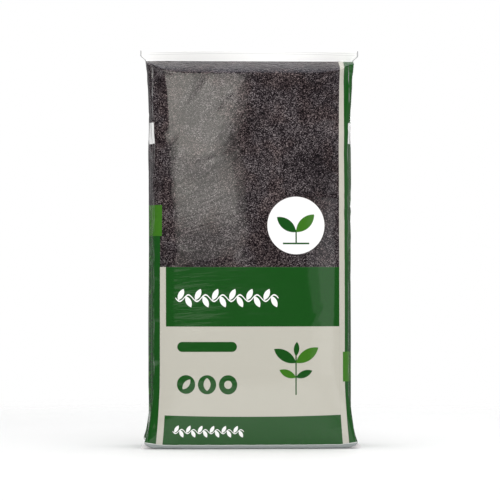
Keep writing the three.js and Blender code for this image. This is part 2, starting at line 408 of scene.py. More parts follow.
def edge_creases(film, columns):
    """The four upright edges: a fine ridge where the film was folded flat, and dents that pinch it in."""
    z = film.points[..., 2]
    total = np.zeros_like(film.up)
    for seed, edge in enumerate(columns.edges):
        beside = from_edge(film, edge)
        height = z[:, edge:edge + 1]
        pinch = np.clip(drift(height[..., None], 0.032, 0.090, 60 + seed) - 0.35, 0, 1.6)
        strength = 0.55 + 0.45 * drift(height[..., None], 0.08, 0.20, 70 + seed)
        total -= EDGE_PINCH * pinch * np.exp(-((beside / EDGE_REACH) ** 2))
        total += EDGE_RIDGE * np.clip(strength, 0.1, 1.0) * np.exp(-((beside / EDGE_RIDGE_WIDTH) ** 2))
    return total


def puckers(film, columns):
    """Upright gathers that run out of both seals: seeded waves across the bag that die away with the length
    of film from the seal."""
    x = film.points[..., :1]
    places = x + np.where(film.points[..., 1:2] > 0, BACK_SHIFT, 0.0)
    below = film.fin_up - film.up
    on_face = np.where(columns.kind == FACE, 1 - np.abs(columns.share) ** 12, 0.0)
    top = np.exp(-np.clip(below, 0, None) / SEAL_PUCKER_REACH) * smoothstep(below, 0.001, 0.012)
    foot = np.exp(-np.clip(film.up - 0.006, 0, None) / FOOT_PUCKER_REACH) * smoothstep(film.up, 0.0, 0.008)
    gathers = drift(places, 0.013, 0.045, 81)
    reach = 0.6 + 0.4 * drift(places, 0.03, 0.09, 82)
    low_gathers = drift(places, 0.016, 0.060, 83)
    return on_face * (SEAL_PUCKER * top * gathers * reach + FOOT_PUCKER * foot * low_gathers)


# Cloth simulation of the film: slack as a share of its length, lengths in metres
SLACK_MOST = 0.10
EDGE_SLACK = 0.20
EDGE_SLACK_REACH = 0.030
GUSSET_SLACK = 0.8
SEAL_SLACK = 0.6
SEAL_SLACK_REACH = 0.050
FOOT_SLACK = 0.5
FOOT_SLACK_REACH = 0.050
FILL_HOLD = 0.008
SHOULDER_HOLD = 0.25
SHOULDER_HOLD_REACH = 0.012
PRESSURE = 3.0
BENDING = 1.0
SETTLE_FRAMES = 30
START_NOISE = 0.00005
MOVE_CAP = 0.007
SLOW_CELLS = 9
OUTWARD_SHARE = 0.12
SEAL_STILL = (0.030, 0.085)


def slack_shares(film, columns):
    """How slack the film is, from 0 to 1: most on the gussets, less along the upright edges and towards both
    seals, and not at all on the middle of the faces."""
    beside = np.minimum.reduce([from_edge(film, edge) for edge in columns.edges])
    near_edge = EDGE_SLACK * np.exp(-((beside / EDGE_SLACK_REACH) ** 2))
    near_seal = SEAL_SLACK * np.exp(-((np.clip(film.fin_up - film.up, 0, None) / SEAL_SLACK_REACH) ** 2))
    near_foot = FOOT_SLACK * np.exp(-((np.clip(film.up, 0, None) / FOOT_SLACK_REACH) ** 2))
    on_gusset = np.where(columns.kind == GUSSET, GUSSET_SLACK * (1 - columns.share**4), 0.0)
    return np.maximum.reduce(np.broadcast_arrays(near_edge, near_seal, near_foot, on_gusset))


def held_shares(film, columns):
    """How firmly the film is held in place: fixed at the pad and at the fin, well at each face's shoulder,
    and only softly by the fill elsewhere."""
    from_shoulder = (film.up - shoulder_height(columns)) / SHOULDER_HOLD_REACH
    on_face = np.where(columns.kind == FACE, 1 - columns.share**6, 0.0)
    held = FILL_HOLD + SHOULDER_HOLD * on_face * np.exp(-(from_shoulder**2))
    held[0] = 1.0
    held[-columns.grid.fin:] = 1.0
    return held


def weigh(piece, name, weights):
    """A vertex group with the given weights, in steps of a thousandth."""
    group = piece.vertex_groups.new(name=name)
    levels = np.round(weights.ravel() * 1000).astype(int)
    for level in np.unique(levels):
        group.add(np.flatnonzero(levels == level).tolist(), level / 1000, "REPLACE")


def settled_moves(film, columns):
    """How far each point of the film moves in a cloth simulation: the slack film swells under the pressure of
    the fill, buckles along its edges and folds in at its corners, while the fill holds it to its form."""
    seed = np.stack([drift(film.points, 0.02, 0.06, 91 + axis) for axis in range(3)], axis=-1)
    start = film.points + START_NOISE * seed
    plain = bpy.data.materials.new("slack_film")
    piece = mesh_object("slack_film", start, grid_faces(*film.up.shape), plain)
    weigh(piece, "held", held_shares(film, columns))
    weigh(piece, "slack", slack_shares(film, columns))
    cloth = piece.modifiers.new("cloth", "CLOTH")
    cloth.point_cache.frame_start = 1
    cloth.point_cache.frame_end = SETTLE_FRAMES
    values = dict(
        quality=5, mass=0.1, air_damping=2,
        tension_stiffness=40, compression_stiffness=40, shear_stiffness=20, bending_stiffness=BENDING,
        tension_damping=10, compression_damping=10, shear_damping=10, bending_damping=1,
        vertex_group_mass="held", pin_stiffness=1,
        vertex_group_shrink="slack", shrink_min=0, shrink_max=-SLACK_MOST,
        use_pressure=True, uniform_pressure_force=PRESSURE,
    )
    for name, value in values.items():
        setattr(cloth.settings, name, value)
    cloth.settings.effector_weights.gravity = 0
    for number in range(1, SETTLE_FRAMES + 1):
        bpy.context.scene.frame_set(number)
    settled = piece.evaluated_get(bpy.context.evaluated_depsgraph_get())
    points = np.empty(film.points.size)
    settled.to_mesh().vertices.foreach_get("co", points)
    settled.to_mesh_clear()
    mesh = piece.data
    bpy.data.objects.remove(piece)
    bpy.data.meshes.remove(mesh)
    bpy.data.materials.remove(plain)
    bpy.context.scene.frame_set(1)
    return points.reshape(film.points.shape) - film.points


def stepped(field, step, axis):
    """The field shifted by steps: columns go round, and rows stop at the first and the last."""
    if axis == 1:
        return np.roll(field, -step, axis=1)
    return field[np.clip(np.arange(len(field)) + step, 0, len(field) - 1)]


def slow_part(field):
    """The field smoothed by a bell curve about SLOW_CELLS wide along both axes."""
    for axis in (0, 1):
        steps = range(-2 * SLOW_CELLS, 2 * SLOW_CELLS + 1)
        shares = [math.exp(-((step / SLOW_CELLS) ** 2)) for step in steps]
        field = sum(share * stepped(field, step, axis) for step, share in zip(steps, shares)) / sum(shares)
    return field


def doubled(field, axis):
    """The field with a value added half way between each two along an axis, by a cubic through four."""
    near = stepped(field, 0, axis) + stepped(field, 1, axis)
    far = stepped(field, -1, axis) + stepped(field, 2, axis)
    pairs = np.stack([field, (9 * near - far) / 16], axis=axis + 1)
    shape = list(field.shape)
    shape[axis] *= 2
    return pairs.reshape(shape)


def film_normals(points):
    """Unit normals of a film's grid of points, outwards."""
    along = np.roll(points, -1, axis=1) - np.roll(points, 1, axis=1)
    normal = np.cross(along, np.gradient(points, axis=0))
    return normal / np.maximum(np.linalg.norm(normal, axis=2, keepdims=True), 1e-12)


def settled_heights(fine):
    """How far the simulation moves the film along its normal, on the finished film's grid: without the slow
    part, which is the form's own, only where the film is slack, more inwards than outwards, and capped."""
    heights = np.zeros((fine.foot + fine.wall + fine.roof + fine.fin, *film_columns(fine).kind.shape))
    columns = film_columns(COARSE)
    film = film_surface(columns)
    settled = (settled_moves(film, columns) * film_normals(film.points)).sum(axis=2)
    settled -= slow_part(settled)
    settled *= slack_shares(film, columns) * smoothstep(film.fin_up - film.up, *SEAL_STILL)
    settled = np.clip(np.where(settled > 0, settled * OUTWARD_SHARE, settled), -MOVE_CAP, MOVE_CAP)
    heights[:-fine.fin] = doubled(doubled(settled[:-COARSE.fin], 0), 1)
    return heights


def crumpled(film, columns):
    """The film's points moved along their normals by swells, folds, edge creases, puckers and settling."""
    points = film.points
    z = points[..., 2]
    on_wall = smoothstep(z, 0.002, 0.03) * (1 - smoothstep(z, ROOF_TOP - 0.012, ROOF_TOP - 0.001))
    swell = SLOW_SWELL * drift(points, 0.14, 0.30, 51) + FINE_SWELL * drift(points, 0.012, 0.030, 52)
    height = on_wall * (swell + soft_folds(film) + edge_creases(film, columns))
    height += puckers(film, columns)
    height += settled_heights(columns.grid)
    moved = points + film_normals(points) * height[..., None]
    moved[..., 2] = np.maximum(moved[..., 2], 0)
    return moved


def grid_faces(rows, around):
    """Quads of a grid of rows that close round on themselves, as vertex numbers."""
    row = np.arange(rows - 1)[:, None] * around
    here = np.arange(around)
    after = (here + 1) % around
    above = row + around
    return np.stack([row + here, row + after, above + after, above + here], axis=-1).reshape(-1, 4)


def mesh_object(name, points, faces, material):
    """A smooth-shaded mesh object at the origin."""
    mesh = bpy.data.meshes.new(name)
    mesh.from_pydata(points.reshape(-1, 3).tolist(), [], faces.tolist())
    mesh.polygons.foreach_set("use_smooth", np.ones(len(faces), bool))
    mesh.materials.append(material)
    piece = bpy.data.objects.new(name, mesh)
    bpy.context.scene.collection.objects.link(piece)
    return piece


def add_uv(mesh, name, faces, across, up, turn=None):
    """A UV map in metres. Where turn gives the length once round, the last column joins the first there."""
    layer = mesh.uv_layers.new(name=name)
    u = across.ravel()[faces]
    if turn is not None:
        columns = across.shape[1]
        wraps = (faces % columns == 0) & (faces % columns != (faces[:, :1] % columns))
        u = u + np.where(wraps, turn.ravel()[faces // columns], 0.0)
    layer.data.foreach_set("uv", np.stack([u, up.ravel()[faces]], axis=-1).ravel())


def close_ends(mesh):
    """Welds the middle lines of the pad and of the fin's top edge, where front and back come together."""
    work = bmesh.new()
    work.from_mesh(mesh)
    bmesh.ops.remove_doubles(work, verts=work.verts, dist=1e-6)
    bmesh.ops.dissolve_degenerate(work, edges=work.edges, dist=1e-7)
    work.to_mesh(mesh)
    work.free()
    mesh.update()


def film_bag(film, columns, material):
    """The whole film: crumpled walls, roof and fin, the pad shrunk to a line on the floor, and the fin's
    top edge shut."""

    def with_ends(field):
        return np.concatenate([np.repeat(field[:1], PAD_ROWS, axis=0), field, field[-1:]])

    points = crumpled(film, columns)
    shrink = np.linspace(0, 1, PAD_ROWS, endpoint=False)[:, None]
    pad = points[:1] * stack(1.0, shrink, 1.0)
    top = points[-1:].copy()
    top[..., 1] = film.wave
    points = np.concatenate([pad, points, top])
    below = film.up[:1] - np.abs(points[:PAD_ROWS, :, 1] - points[PAD_ROWS, :, 1])
    up = np.concatenate([below, film.up, film.up[-1:]])
    faces = grid_faces(*points.shape[:2])
    bag = mesh_object("film_bag", points, faces, material)
    add_uv(bag.data, "print", faces, with_ends(film.across), up)
    add_uv(bag.data, "film", faces, with_ends(film.around), up, with_ends(film.perimeter))
    close_ends(bag.data)
    return bag


def seal_ears(material):
    """The two ends of the bottom seal, which is folded forward under the bag: thin upright tabs that look out
    from under the front corners. Each is a flat superellipse carried outwards, lower towards its end, and
    shut at its inner end by a section shrunk to a line."""
    out = np.linspace(0, 1, 25)[:, None]
    turn = np.linspace(0, TAU, 32, endpoint=False)
    height = EAR_HEIGHT / 2 * (1 - out**3) ** 0.5
    x = lerp(EAR_INNER, SEAL_WIDTH / 2, out)
    flat = np.sign(np.sin(turn)) * np.abs(np.sin(turn)) ** 0.5
    y = EAR_THICKNESS / 2 * np.sign(np.cos(turn)) * np.abs(np.cos(turn)) ** 0.5 - EAR_FORWARD
    section = stack(x, y, height * (1 + flat))
    inner_end = stack(section[:1, :, 0], section[:1, :, 1], EAR_HEIGHT / 2)
    right = np.concatenate([inner_end, section])
    left = right[:, ::-1] * np.array([-1, 1, 1])
    ears = np.concatenate([right, left])
    one = grid_faces(*right.shape[:2])
    piece = mesh_object("bottom_seal_ears", ears, np.concatenate([one, one + right[..., 0].size]), material)
    close_ends(piece.data)
    return piece


class Graph:
    """Short calls for the nodes of one shader tree."""

    def __init__(self, tree):
        self.tree = tree

    def add(self, kind, **settings):
        node = self.tree.nodes.new(kind)
        for name, value in settings.items():
            setattr(node, name, value)
        return node

    def plug(self, socket, value):
        if isinstance(value, bpy.types.NodeSocket):
            self.tree.links.new(value, socket)
        else:
            socket.default_value = value

    def math(self, operation, *values, clamp=False):
        node = self.add("ShaderNodeMath", operation=operation, use_clamp=clamp)
        for socket, value in zip(node.inputs, values):
            self.plug(socket, value)
        return node.outputs[0]

    def plus(self, first, second):
        return self.math("ADD", first, second)

    def minus(self, first, second):
        return self.math("SUBTRACT", first, second)

    def times(self, first, second):
        return self.math("MULTIPLY", first, second)

    def add_share(self, value, share, base):
        return self.math("MULTIPLY_ADD", value, share, base)

    def far(self, x, y):
        return self.math("SQRT", self.plus(self.times(x, x), self.times(y, y)))

    def turned(self, x, y, turn):
        cosine = self.math("COSINE", turn)
        sine = self.math("SINE", turn)
        along = self.plus(self.times(x, cosine), self.times(y, sine))
        aside = self.minus(self.times(y, cosine), self.times(x, sine))
        return along, aside

    def parts(self, vector):
        node = self.add("ShaderNodeSeparateXYZ")
        self.plug(node.inputs[0], vector)
        return node.outputs

    def mix(self, mask, below, above, blend="MIX"):
        node = self.add("ShaderNodeMix", data_type="RGBA", blend_type=blend)
        for number, value in ((0, mask), (6, below), (7, above)):
            self.plug(node.inputs[number], value)
        return node.outputs[2]

    def ramp(self, value, low, high, start, end):
        node = self.add("ShaderNodeMapRange", interpolation_type="SMOOTHSTEP")
        for socket, given in zip(node.inputs, (value, low, high, start, end)):
            self.plug(socket, given)
        return node.outputs[0]

    def noise(self, place, scale, detail, dimensions="3D"):
        node = self.add("ShaderNodeTexNoise", noise_dimensions=dimensions)
        for name, value in (("Vector", place), ("Scale", scale), ("Detail", detail)):
            self.plug(node.inputs[name], value)
        return node.outputs["Fac"]

    def bump(self, height, strength, distance, normal=None):
        node = self.add("ShaderNodeBump")
        for name, value in (("Height", height), ("Strength", strength), ("Distance", distance)):
            self.plug(node.inputs[name], value)
        if normal is not None:
            self.plug(node.inputs["Normal"], normal)
        return node.outputs[0]

    def use(self, tree, values):
        node = self.add("ShaderNodeGroup", node_tree=tree)
        for name, value in values.items():
            self.plug(node.inputs[name], value)
        return node.outputs


def new_group(name, inputs, outputs):
    """A shader node group with named float inputs and outputs, as (tree, graph, its inputs, its outputs).
    A name that ends in Colour is a colour socket, and Place is a vector socket."""
    tree = bpy.data.node_groups.new(name, "ShaderNodeTree")
    for names, way in ((inputs, "INPUT"), (outputs, "OUTPUT")):
        for label in names:
            kind = "NodeSocketFloat"
            if label.endswith("Colour"):
                kind = "NodeSocketColor"
            elif label == "Place":
                kind = "NodeSocketVector"
            tree.interface.new_socket(label, in_out=way, socket_type=kind)
    graph = Graph(tree)
    return tree, graph, graph.add("NodeGroupInput").outputs, graph.add("NodeGroupOutput").inputs


def new_material(name):
    """A node material, as (material, graph, its shader)."""
    material = bpy.data.materials.new(name)
    material.use_nodes = True
    return material, Graph(material.node_tree), material.node_tree.nodes["Principled BSDF"]


EDGE_BLUR = 0.0004  # how far a printed edge bleeds


def inside(graph, reach):
    """1 where reach, a distance inside a shape, is positive, with a narrow soft edge."""
    return graph.math("MULTIPLY_ADD", reach, 1 / EDGE_BLUR, 0.5, clamp=True)


def field_group():
    """An upright rectangle of colour between two lengths across and two heights."""
    names = ("Across", "Up", "Left", "Right", "Low", "High")
    tree, graph, given, made = new_group("field", names, ("Mask",))
    from_left = graph.minus(given["Across"], given["Left"])
    from_right = graph.minus(given["Right"], given["Across"])
    from_low = graph.minus(given["Up"], given["Low"])
    from_high = graph.minus(given["High"], given["Up"])
    sides = graph.math("MINIMUM", from_left, from_right)
    ends = graph.math("MINIMUM", from_low, from_high)
    graph.plug(made["Mask"], inside(graph, graph.math("MINIMUM", sides, ends)))
    return tree


def disc_group():
    """A round spot of a radius about a middle."""
    names = ("Across", "Up", "Middle Across", "Middle Up", "Radius")
    tree, graph, given, made = new_group("disc", names, ("Mask",))
    x = graph.minus(given["Across"], given["Middle Across"])
    y = graph.minus(given["Up"], given["Middle Up"])
    graph.plug(made["Mask"], inside(graph, graph.minus(given["Radius"], graph.far(x, y))))
    return tree


def leaf_group():
    """A leaf from its stalk end: the lens where two equal circles overlap, as long and as wide as given, and
    turned from upright by an angle."""
    names = ("Across", "Up", "Stalk Across", "Stalk Up", "Turn", "Length", "Width")
    tree, graph, given, made = new_group("leaf", names, ("Mask",))
    x = graph.minus(given["Across"], given["Stalk Across"])
    y = graph.minus(given["Up"], given["Stalk Up"])
    along, aside = graph.turned(y, x, given["Turn"])
    half_length = graph.times(given["Length"], 0.5)
    half_width = graph.times(given["Width"], 0.5)
    squares = graph.plus(graph.times(half_length, half_length), graph.times(half_width, half_width))
    radius = graph.math("DIVIDE", squares, given["Width"])
    out = graph.plus(graph.math("ABSOLUTE", aside), graph.minus(radius, half_width))
    far = graph.far(out, graph.minus(along, half_length))
    graph.plug(made["Mask"], inside(graph, graph.minus(radius, far)))
    return tree


# Printed soil: sizes in cells to the metre, and what each layer adds to the brightness
CRUMBS, GRAINS = 680.0, 1350.0
SOIL_BASE = -0.540
GAP_SHARE = -0.30
CRUMB_SHARE = 0.75
GRAIN_SHARE = 0.70
CLUMP_LAYERS = ((60.0, 4.0, 0.36), (13.0, 2.0, 0.40))  # scale, detail and share
CHIP_CHANCE = 0.988
CHIP_SHARE = 0.20
SOIL_COLOURS = (
    (0.10, (0.003, 0.002, 0.003, 1)),
    (0.36, (0.013, 0.009, 0.010, 1)),
    (0.56, (0.042, 0.033, 0.035, 1)),
    (0.78, (0.120, 0.102, 0.102, 1)),
    (1.00, (0.330, 0.300, 0.280, 1)),
)
COLD_SOIL = (0.80, 0.78, 0.845, 1)
WARM_SOIL = (0.75, 0.66, 0.685, 1)


def soil_group():
    """A printed picture of loose dark soil: crumbs of random brightness with dark gaps, fine grit, slow
    clumps and a few pale chips."""
    tree, graph, given, made = new_group("soil_print", ("Place",), ("Soil Colour",))

    def crumb_layer(scale):
        cells = graph.add("ShaderNodeTexVoronoi", voronoi_dimensions="2D")
        graph.plug(cells.inputs["Vector"], given["Place"])
        graph.plug(cells.inputs["Scale"], scale)
        chance = graph.add("ShaderNodeSeparateColor")
        graph.plug(chance.inputs["Color"], cells.outputs["Color"])
        return cells.outputs["Distance"], chance.outputs["Red"], chance.outputs["Green"]

    gap, crumb, chip = crumb_layer(CRUMBS)
    _, grain, _ = crumb_layer(GRAINS)
    value = graph.add_share(gap, GAP_SHARE, SOIL_BASE)
    value = graph.add_share(crumb, CRUMB_SHARE, value)
    value = graph.add_share(grain, GRAIN_SHARE, value)
    for scale, detail, share in CLUMP_LAYERS:
        value = graph.add_share(graph.noise(given["Place"], scale, detail, "2D"), share, value)
    value = graph.add_share(graph.math("GREATER_THAN", chip, CHIP_CHANCE), CHIP_SHARE, value)
    ramp = graph.add("ShaderNodeValToRGB")
    graph.plug(ramp.inputs["Fac"], value)
    stops = ramp.color_ramp.elements
    for number, (place, colour) in enumerate(SOIL_COLOURS):
        stop = stops[number] if number < 2 else stops.new(place)
        stop.position = place
        stop.color = colour
    humus = graph.ramp(graph.noise(given["Place"], 17.0, 2.0, "2D"), 0.42, 0.64, 0.0, 1.0)
    tint = graph.mix(humus, COLD_SOIL, WARM_SOIL)
    graph.plug(made["Soil Colour"], graph.mix(1.0, ramp.outputs["Color"], tint, "MULTIPLY"))
    return tree


LEAST_ROUGHNESS = 0.030
SMEAR_ROUGHNESS = 0.09


def gloss_group():
    """The surface of blown film: a low roughness with slow smears, and a faint grain for the bump."""
    tree, graph, given, made = new_group("film_gloss", ("Place",), ("Roughness", "Grain"))
    smears = graph.noise(given["Place"], 22.0, 3.0)
    graph.plug(made["Roughness"], graph.add_share(smears, SMEAR_ROUGHNESS, LEAST_ROUGHNESS))
    graph.plug(made["Grain"], graph.noise(given["Place"], 330.0, 2.0))
    return tree


# Stretch lines of the film: their middle, the heights between which they turn, and how close they lie
STREAK_MIDDLE = (-0.05, 0.50)
STREAK_HEIGHTS = (0.30, 0.64)
STREAK_TURNS = (math.radians(5), math.radians(54))
STREAKS_ALONG, STREAKS_ASIDE = 14.0, 110.0


def streak_group():
    """Fine stretch lines of the film: a noise drawn out along a heading that turns from level to steep on the
    way up, about a middle on the upper front."""
    tree, graph, given, made = new_group("film_streaks", ("Across", "Up"), ("Height",))
    beside = graph.minus(given["Across"], STREAK_MIDDLE[0])
    above = graph.minus(given["Up"], STREAK_MIDDLE[1])
    along, aside = graph.turned(beside, above, graph.ramp(given["Up"], *STREAK_HEIGHTS, *STREAK_TURNS))
    place = graph.add("ShaderNodeCombineXYZ")
    graph.plug(place.inputs[0], graph.times(along, STREAKS_ALONG))
    graph.plug(place.inputs[1], graph.times(aside, STREAKS_ASIDE))
    graph.plug(made["Height"], graph.noise(place.outputs[0], 1.0, 2.0, "2D"))
    return tree


def crease_highlight_group():
    """How strongly the painted highlight along a fold shows: broken stretches of a few centimetres."""
    tree, graph, given, made = new_group("crease_highlight", ("Place",), ("Highlight",))
    stretches = graph.noise(given["Place"], 30.0, 3.0)
    graph.plug(made["Highlight"], graph.ramp(stretches, 0.38, 0.66, 0.0, 0.8))
    return tree


# Colours of the print and of painted shade and highlights, linear
DARK_GREEN = (0.0076, 0.073, 0.0084, 1)
LIGHT_GREEN = (0.043, 0.165, 0.012, 1)
BEIGE = (0.520, 0.503, 0.442, 1)
WHITE = (0.93, 0.93, 0.925, 1)
# painted shade: the foot's unprinted white margin, grey where it curves under the bag
MARGIN_SHADE = (0.31, 0.335, 0.335, 1)
SEAL_GREY = (0.66, 0.66, 0.67, 1)
CUT_GREY = (0.42, 0.42, 0.43, 1)
# painted highlight: a thin pale line along the top of the shaded margin
MARGIN_HIGHLIGHT = (0.66, 0.68, 0.66, 1)
# painted shade: the white film of the seal's ends, light grey near the floor
EAR_SHADE = (0.72, 0.70, 0.71, 1)
# painted highlight along the folded upright edges
CREASE_HIGHLIGHT = (0.30, 0.30, 0.30, 1)

# Fields of the print over the soil: left, right, low and high, as lengths across from the middle of a face
# and heights up the film, and the colour
FAR = 2.0
PANEL_LEFT, PANEL_RIGHT = -0.1560, 0.1606
FRAME_LEFT, FRAME_RIGHT = -0.1675, 0.1716
SOIL_LOW = 0.329
BAND_LOW = 0.2216
LOWER_BAND_TOP = 0.0618
SIDE_GREEN_TOP = 0.441
FIELDS = (
    (FRAME_RIGHT, FAR, -FAR, FAR, DARK_GREEN),
    (-FAR, FRAME_LEFT, -FAR, SIDE_GREEN_TOP, DARK_GREEN),
    (PANEL_RIGHT, FRAME_RIGHT, -FAR, FAR, BEIGE),
    (FRAME_LEFT, PANEL_RIGHT, -FAR, SOIL_LOW, BEIGE),
    (PANEL_LEFT, PANEL_RIGHT, BAND_LOW, SOIL_LOW, DARK_GREEN),
    (PANEL_LEFT, PANEL_RIGHT, -FAR, LOWER_BAND_TOP, DARK_GREEN),
    (-0.235, -0.164, 0.385, SIDE_GREEN_TOP, LIGHT_GREEN),
    (0.1675, 0.235, 0.1214, 0.1755, LIGHT_GREEN),
    (-0.225, -0.1818, 0.5525, 0.5905, WHITE),
    (0.1832, 0.221, 0.5525, 0.5905, WHITE),
)

# Seals and folds of the print: the unprinted margin at the foot, painted grey as shade below a painted
# highlight line, the white fin, and painted highlights along the upright edges
MARGIN_TOP = 0.0078
MARGIN_RISE = 0.0050
MARGIN_RISE_SPAN = (0.150, 0.196)
# width of the painted highlight line above the shaded margin
MARGIN_LINE = 0.0011
FIN_DROP = 0.0055
FIN_DROP_SPAN = (0.150, 0.192)
SEAL_LINES = (0.0143, 0.0176)
SEAL_LINE_WIDTH = 0.0006
CUT_WIDTH = 0.0020
EDGE_FOLD = 0.1835  # length across of the folded upright edges
# width of the painted highlight along each folded edge
EDGE_FOLD_WIDTH = 0.0016

# Relief of the film's surface, in metres, and the gathered film of the roof
GRAIN_STRENGTH = 0.2
GRAIN_HEIGHT = 0.00005
STREAK_HEIGHT = 0.00015
ROOF_FILM = 0.080
ROOF_DULLING = 0.28
ROOF_CRINKLE = 0.0055
ROOF_CRINKLE_END = 0.004


class Press:
    """Masks of the print's shapes, over lengths across and heights up the film."""

    def __init__(self, graph, across, up):
        self.graph = graph
        self.across = across
        self.up = up
        self.place = {"Across": across, "Up": up}
        self.trees = SimpleNamespace(field=field_group(), disc=disc_group(), leaf=leaf_group())

    def field(self, left, right, low, high):
        values = {**self.place, "Left": left, "Right": right, "Low": low, "High": high}
        return self.graph.use(self.trees.field, values)["Mask"]

    def disc(self, across, up, radius):
        values = {**self.place, "Middle Across": across, "Middle Up": up, "Radius": radius}
        return self.graph.use(self.trees.disc, values)["Mask"]

    def leaf(self, across, up, turn, length, width, **wrapped):
        values = {**self.place, "Stalk Across": across, "Stalk Up": up, "Turn": math.radians(turn)}
        values.update(wrapped, Length=length, Width=width)
        return self.graph.use(self.trees.leaf, values)["Mask"]

    def together(self, *masks):
        joined = masks[0]
        for mask in masks[1:]:
            joined = self.graph.math("MAXIMUM", joined, mask)
        return joined

    def vine(self, first, last, middle, gap, size):
        """A level vine: a thin stem that waves once in each gap, with a leaf above and a leaf below it,
        repeated by wrapping the length across."""
        graph = self.graph
        along = graph.minus(self.across, first)
        local = graph.math("WRAP", along, gap, 0.0)
        swing = graph.math("SINE", graph.times(along, TAU / gap))
        bend = graph.add_share(swing, -0.16 * size, middle)
        from_stem = graph.math("ABSOLUTE", graph.minus(self.up, bend))
        stem = inside(graph, graph.minus(0.035 * size, from_stem))
        upper = self.leaf(gap * 0.16, middle - 0.10 * size, 26, size * 0.62, size * 0.27, Across=local)
        lower = self.leaf(gap * 0.60, middle + 0.10 * size, 154, size * 0.62, size * 0.27, Across=local)
        row = self.field(first, last, middle - size, middle + size)
        return graph.times(self.together(stem, upper, lower), row)

    def garland(self, middle, low, high, gap, size):
        """An upright row of leaf pairs on a gusset, repeated by wrapping the height."""
        graph = self.graph
        local = graph.math("WRAP", graph.minus(self.up, low), gap / 2, -gap / 2)
        pair = [self.leaf(middle, -size / 2, turn, size, size * 0.4, Up=local) for turn in (-40, 40)]
        row = self.field(middle - size, middle + size, low - gap / 2, high + gap / 2)
        return graph.times(self.together(*pair), row)


# Middle of the roundel, foot of the seedling, the bar and the spots beside it, and the gussets' leaf pairs
ROUNDEL_ACROSS, ROUNDEL_UP = 0.080, 0.404
SEEDLING_ACROSS, SEEDLING_UP = 0.080, 0.100
BAR_LEFT, BAR_RIGHT, BAR_UP, BAR_HALF = -0.126, -0.036, 0.185, 0.009
SPOTS_ACROSS, SPOT_UP, SPOT_RADIUS = (-0.119, -0.081, -0.043), 0.118, 0.0165
GARLANDS = ((-0.222, 0.075, 0.345), (0.222, 0.245, 0.515))  # middle, low and high
GARLAND_GAP, GARLAND_SIZE = 0.030, 0.017


def plant_shapes(press):
    """The print's simple shapes, as pairs of mask and colour: a roundel with a sprout, a seedling on the pale
    panel beside a bar and three spots, vines on the green bands and garlands on the gussets."""

    def on_roundel(turn, length, width):
        return press.leaf(ROUNDEL_ACROSS, ROUNDEL_UP - 0.012, turn, length, width)

    def on_seedling(up, turn, length, width):
        return press.leaf(SEEDLING_ACROSS, SEEDLING_UP + up, turn, length, width)

    def stem(across, half, low, high):
        return press.field(across - half, across + half, low, high)

    sprout_stem = stem(ROUNDEL_ACROSS, 0.0013, ROUNDEL_UP - 0.032, ROUNDEL_UP - 0.008)
    sprout_ground = stem(ROUNDEL_ACROSS, 0.024, ROUNDEL_UP - 0.034, ROUNDEL_UP - 0.031)
    seedling_stem = stem(SEEDLING_ACROSS, 0.0012, SEEDLING_UP, SEEDLING_UP + 0.070)
    seedling_dark = (on_seedling(0.056, -58, 0.047, 0.019), on_seedling(0.030, 68, 0.032, 0.0125),
                     on_seedling(0.068, 4, 0.026, 0.010))
    seedling_light = (on_seedling(0.056, 56, 0.049, 0.020), on_seedling(0.030, -66, 0.033, 0.013))
    bar = (press.field(BAR_LEFT, BAR_RIGHT, BAR_UP - BAR_HALF, BAR_UP + BAR_HALF),
           press.disc(BAR_LEFT, BAR_UP, BAR_HALF), press.disc(BAR_RIGHT, BAR_UP, BAR_HALF))
    spots = [press.disc(across, SPOT_UP, SPOT_RADIUS) for across in SPOTS_ACROSS]
    in_spots = (press.leaf(-0.125, 0.1095, 38, 0.022, 0.010), press.leaf(-0.081, 0.1075, 0, 0.022, 0.0125),
                press.disc(SPOTS_ACROSS[2], SPOT_UP, 0.0070))
    garlands = [press.garland(*place, GARLAND_GAP, GARLAND_SIZE) for place in GARLANDS]
    return (
        (press.disc(ROUNDEL_ACROSS, ROUNDEL_UP, 0.052), WHITE),
        (press.together(on_roundel(-52, 0.044, 0.019), sprout_stem, sprout_ground), DARK_GREEN),
        (on_roundel(46, 0.046, 0.020), LIGHT_GREEN),
        (press.vine(-0.138, 0.048, 0.273, 0.031, 0.036), WHITE),
        (press.vine(-0.140, -0.014, 0.033, 0.021, 0.024), WHITE),
        (press.together(seedling_stem, *seedling_dark), DARK_GREEN),
        (press.together(*seedling_light), LIGHT_GREEN),
        (press.together(*bar, *spots), DARK_GREEN),
        (press.together(*in_spots), BEIGE),
        (press.together(*garlands), LIGHT_GREEN),
    )


